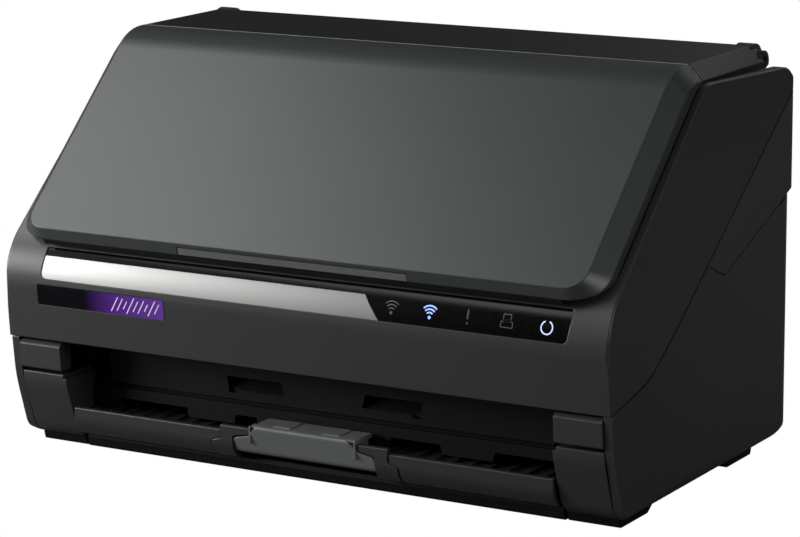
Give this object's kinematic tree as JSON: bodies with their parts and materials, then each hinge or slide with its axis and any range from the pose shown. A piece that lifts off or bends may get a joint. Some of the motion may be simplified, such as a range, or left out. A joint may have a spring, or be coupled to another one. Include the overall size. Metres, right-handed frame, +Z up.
{
  "type": "sheet-fed photo scanner",
  "caption": "Low desktop photo scanner with a tilting front cover, a fold-back lid that becomes the input tray, and a telescoping output tray under its paper exit.",
  "frame": {"origin": "middle of the footprint, on the surface it stands on", "axes": "+X to the right seen from the front, -Y the front, +Z up"},
  "size_m": [0.296, 0.1695, 0.1761],
  "materials": {
    "shell_charcoal": "fine satin texture",
    "lid_satin": "smooth satin sheen",
    "lid_black": "fine satin texture",
    "inner_black": "matt",
    "tray_dark": "satin, ribbed",
    "block_grey": "satin",
    "grip_grey": "satin",
    "window_gloss": "high gloss",
    "strip_silver": "silver, glossy",
    "key_gloss": "gloss with a lit sign",
    "badge_print": "printed label",
    "steel": "ground",
    "zinc": "zinc plated",
    "rubber_grey": "soft rubber",
    "rubber_foot": "rubber",
    "acetal_white": "low-friction plastic",
    "board_green": "circuit board",
    "port_black": "moulded",
    "glass_clear": "clear",
    "bronze": "sintered"
  },
  "bodies": {
    "base": {"base_chassis": "inner_black", "foot_pads": "rubber_foot", "side_shell_left": "shell_charcoal", "side_shell_right": "shell_charcoal", "rear_cover": "shell_charcoal", "front_post_left": "shell_charcoal", "front_post_right": "shell_charcoal", "cover_hinge_pins": "steel", "side_frame_left": "zinc", "side_frame_right": "zinc", "exit_wall": "inner_black", "lower_feed_guide": "inner_black", "lower_sensor": "inner_black", "lower_sensor_glass": "glass_clear", "shaft_bushes": "bronze", "drive_motor": "zinc", "drive_belts": "rubber_foot", "main_board": "board_green", "power_inlet": "port_black", "data_port": "port_black"},
    "feed_roller": {"feed_shaft": "steel", "feed_tyres": "rubber_grey", "feed_gear": "acetal_white"},
    "exit_roller": {"exit_shaft": "steel", "exit_tyres": "rubber_grey"},
    "pickup_roller": {"pickup_shaft": "steel", "pickup_tyre": "rubber_grey"},
    "motor_pinion": {"motor_pinion": "bronze"},
    "release_lever": {"release_lever": "shell_charcoal"},
    "latch": {"latch_shaft": "steel"},
    "output_tray_outer": {"output_tray_outer": "tray_dark"},
    "output_tray_middle": {"output_tray_middle": "tray_dark"},
    "output_tray_inner": {"output_tray_inner": "block_grey"},
    "stopper": {"paper_stopper": "block_grey"},
    "cover": {"front_cover": "shell_charcoal", "feed_cover": "inner_black", "opening_wall": "inner_black", "upper_feed_guide": "inner_black", "upper_sensor": "inner_black", "upper_sensor_glass": "glass_clear", "hinge_arms": "inner_black", "idler_brackets": "inner_black", "latch_keepers": "steel", "control_board": "board_green", "control_window": "window_gloss", "silver_strip": "strip_silver", "badge_plate": "badge_print", "lid_hinge_pins": "steel"},
    "feed_idler": {"feed_idler": "acetal_white"},
    "exit_idler": {"exit_idler": "acetal_white"},
    "separation_roller": {"separation_roller": "rubber_grey"},
    "scan_key": {"scan_key": "key_gloss"},
    "power_key": {"power_key": "key_gloss"},
    "lid": {"lid_panel": "lid_satin", "lid_top_plate": "lid_black", "lid_inner_face": "inner_black"},
    "input_extension": {"input_extension": "grip_grey"},
    "edge_guide_right": {"edge_guide_right": "inner_black"},
    "edge_guide_left": {"edge_guide_left": "inner_black"},
    "guide_pinion": {"guide_pinion": "acetal_white"}
  },
  "joints": [
    {"name": "cover_opening", "type": "hinge", "parent": "base", "child": "cover", "pos_m": [0, -0.074, 0.0415], "axis": [1, 0, 0], "range_deg": [0, 55]},
    {"name": "lid_opening", "type": "hinge", "parent": "cover", "child": "lid", "pos_m": [0, 0.0715, 0.1685], "axis": [-1, 0, 0], "range_deg": [0, 144]},
    {"name": "extension_slide", "type": "slide", "parent": "lid", "child": "input_extension", "axis": [0, -0.9117, -0.4108], "range_m": [0, 0.07]},
    {"name": "guide_right_slide", "type": "slide", "parent": "lid", "child": "edge_guide_right", "axis": [-1, 0, 0], "range_m": [0, 0.06]},
    {"name": "guide_left_slide", "type": "slide", "parent": "lid", "child": "edge_guide_left", "axis": [1, 0, 0], "range_m": [0, 0.06]},
    {"name": "guide_pinion_spin", "type": "hinge", "parent": "lid", "child": "guide_pinion", "pos_m": [0, 0.03313, 0.14915], "axis": [0, 0.4108, -0.9117], "range_deg": [0, 575]},
    {"name": "lever_swing", "type": "hinge", "parent": "base", "child": "release_lever", "pos_m": [0.1454, 0.0035, 0.098], "axis": [0, 0, -1], "range_deg": [0, 10], "stiffness_Nm_per_rad": 0.3},
    {"name": "latch_turn", "type": "hinge", "parent": "base", "child": "latch", "pos_m": [0, 0.066, 0.128], "axis": [-1, 0, 0], "range_deg": [0, 8]},
    {"name": "tray_outer_slide", "type": "slide", "parent": "base", "child": "output_tray_outer", "axis": [0, -1, 0], "range_m": [0, 0.075]},
    {"name": "tray_middle_slide", "type": "slide", "parent": "output_tray_outer", "child": "output_tray_middle", "axis": [0, -1, 0], "range_m": [0, 0.07]},
    {"name": "tray_inner_slide", "type": "slide", "parent": "output_tray_middle", "child": "output_tray_inner", "axis": [0, -1, 0], "range_m": [0, 0.06]},
    {"name": "stopper_flip", "type": "hinge", "parent": "output_tray_inner", "child": "stopper", "pos_m": [0, -0.0754, 0.0229], "axis": [1, 0, 0], "range_deg": [0, 100]},
    {"name": "feed_spin", "type": "hinge", "parent": "base", "child": "feed_roller", "pos_m": [0, 0.00777, 0.07778], "axis": [1, 0, 0], "continuous": true},
    {"name": "exit_spin", "type": "hinge", "parent": "base", "child": "exit_roller", "pos_m": [0, -0.04038, 0.03411], "axis": [1, 0, 0], "continuous": true},
    {"name": "pickup_spin", "type": "hinge", "parent": "base", "child": "pickup_roller", "pos_m": [0, 0.03591, 0.10331], "axis": [1, 0, 0], "continuous": true},
    {"name": "motor_spin", "type": "hinge", "parent": "base", "child": "motor_pinion", "pos_m": [0, 0.01762, 0.05924], "axis": [1, 0, 0], "continuous": true},
    {"name": "feed_idler_spin", "type": "hinge", "parent": "cover", "child": "feed_idler", "pos_m": [0, -0.00245, 0.08904], "axis": [1, 0, 0], "continuous": true},
    {"name": "exit_idler_spin", "type": "hinge", "parent": "cover", "child": "exit_idler", "pos_m": [0, -0.05059, 0.04537], "axis": [1, 0, 0], "continuous": true},
    {"name": "separation_spin", "type": "hinge", "parent": "cover", "child": "separation_roller", "pos_m": [0, 0.02543, 0.11486], "axis": [1, 0, 0], "continuous": true},
    {"name": "scan_key_press", "type": "slide", "parent": "cover", "child": "scan_key", "axis": [0, 1, 0], "range_m": [0, 0.0006], "stiffness_N_per_m": 400},
    {"name": "power_key_press", "type": "slide", "parent": "cover", "child": "power_key", "axis": [0, 1, 0], "range_m": [0, 0.0006], "stiffness_N_per_m": 400}
  ],
  "couplings": [
    {"joint": "guide_left_slide", "follows": "guide_right_slide", "ratio": 1},
    {"joint": "guide_pinion_spin", "follows": "guide_right_slide", "rad_per_m": 166.67},
    {"joint": "latch_turn", "follows": "lever_swing", "ratio": 0.8},
    {"joint": "exit_spin", "follows": "feed_spin", "ratio": 1},
    {"joint": "pickup_spin", "follows": "feed_spin", "ratio": 1},
    {"joint": "motor_spin", "follows": "feed_spin", "ratio": -2.3333},
    {"joint": "feed_idler_spin", "follows": "feed_spin", "ratio": -1.4167},
    {"joint": "exit_idler_spin", "follows": "feed_spin", "ratio": -1.4167},
    {"joint": "separation_spin", "follows": "feed_spin", "ratio": -1.3281}
  ]
}
